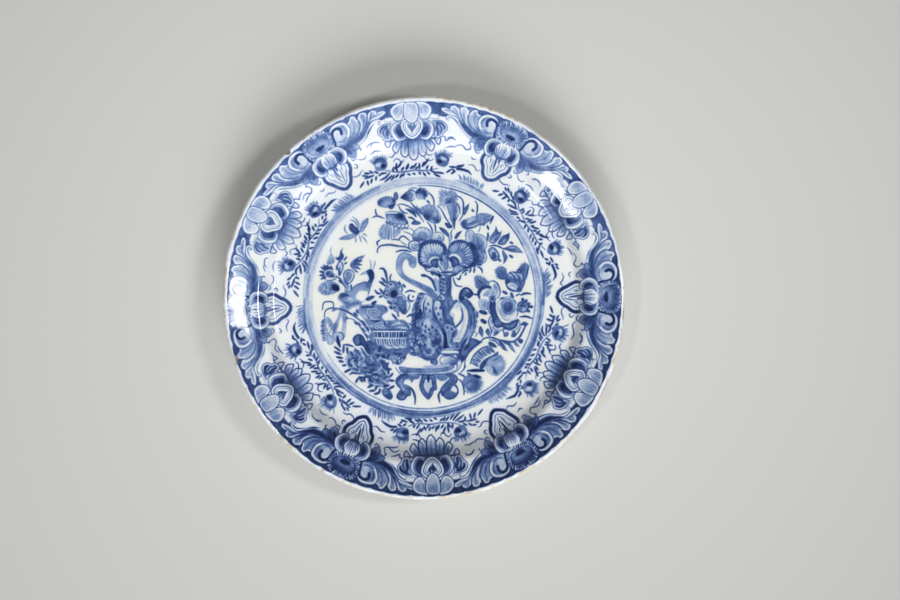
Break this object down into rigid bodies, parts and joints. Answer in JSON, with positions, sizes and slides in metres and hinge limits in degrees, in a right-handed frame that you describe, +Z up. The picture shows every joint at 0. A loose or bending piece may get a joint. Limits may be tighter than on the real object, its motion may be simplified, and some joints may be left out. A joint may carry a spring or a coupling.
{
  "type": "faience dish",
  "caption": "Round tin-glazed earthenware dish on a low foot ring, with a well, a steep wall and a broad border, painted in cobalt blue on white.",
  "frame": {"origin": "centre of the dish in plan, on the plane of the foot ring's resting face", "axes": "+Z up, square to the table, out of the well; +Y towards the top of the painted scene and +X towards its right-hand side"},
  "size_m": [0.35, 0.35, 0.0408],
  "materials": {
    "earthenware": "matt buff fired clay, showing on the foot's resting face and at worn and chipped places of the lip",
    "painted_glaze": "glossy bluish-white tin glaze painted in cobalt blue, with brush pooling, pinholes and specks",
    "white_glaze": "glossy plain tin glaze on the underside, slightly uneven, with pinholes"
  },
  "bodies": {
    "root": {"earthenware_body": "earthenware", "foot_ring": "earthenware", "face_glaze": "painted_glaze", "back_glaze": "white_glaze", "foot_well_glaze": "white_glaze"}
  },
  "joints": []
}
